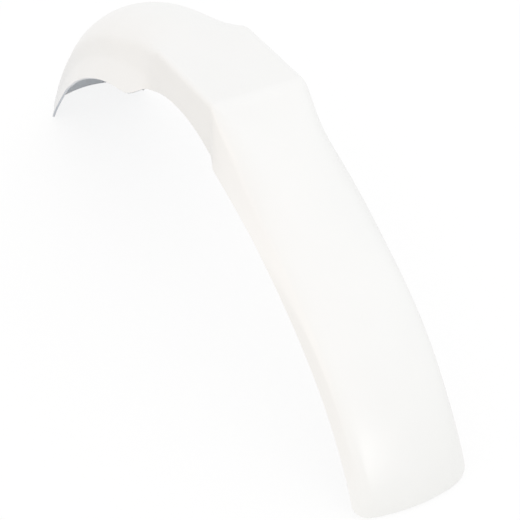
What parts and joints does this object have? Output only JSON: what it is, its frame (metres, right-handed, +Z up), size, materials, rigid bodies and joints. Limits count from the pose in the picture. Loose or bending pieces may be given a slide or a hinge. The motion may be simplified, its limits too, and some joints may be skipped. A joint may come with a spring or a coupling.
{
  "type": "motorcycle front mudguard",
  "caption": "High-mounted off-road front mudguard moulded in one piece: flat pad between the fork legs, long front blade and flared rear channel over the wheel.",
  "frame": {"origin": "centre of the flat pad's top face, on the middle plane", "axes": "+X forward to the nose, +Y to the rider's left, +Z up"},
  "size_m": [0.8148, 0.158, 0.2917],
  "materials": {
    "shell": "semi-gloss white, coloured through"
  },
  "bodies": {
    "root": {"front_mudguard": "shell"}
  },
  "joints": []
}
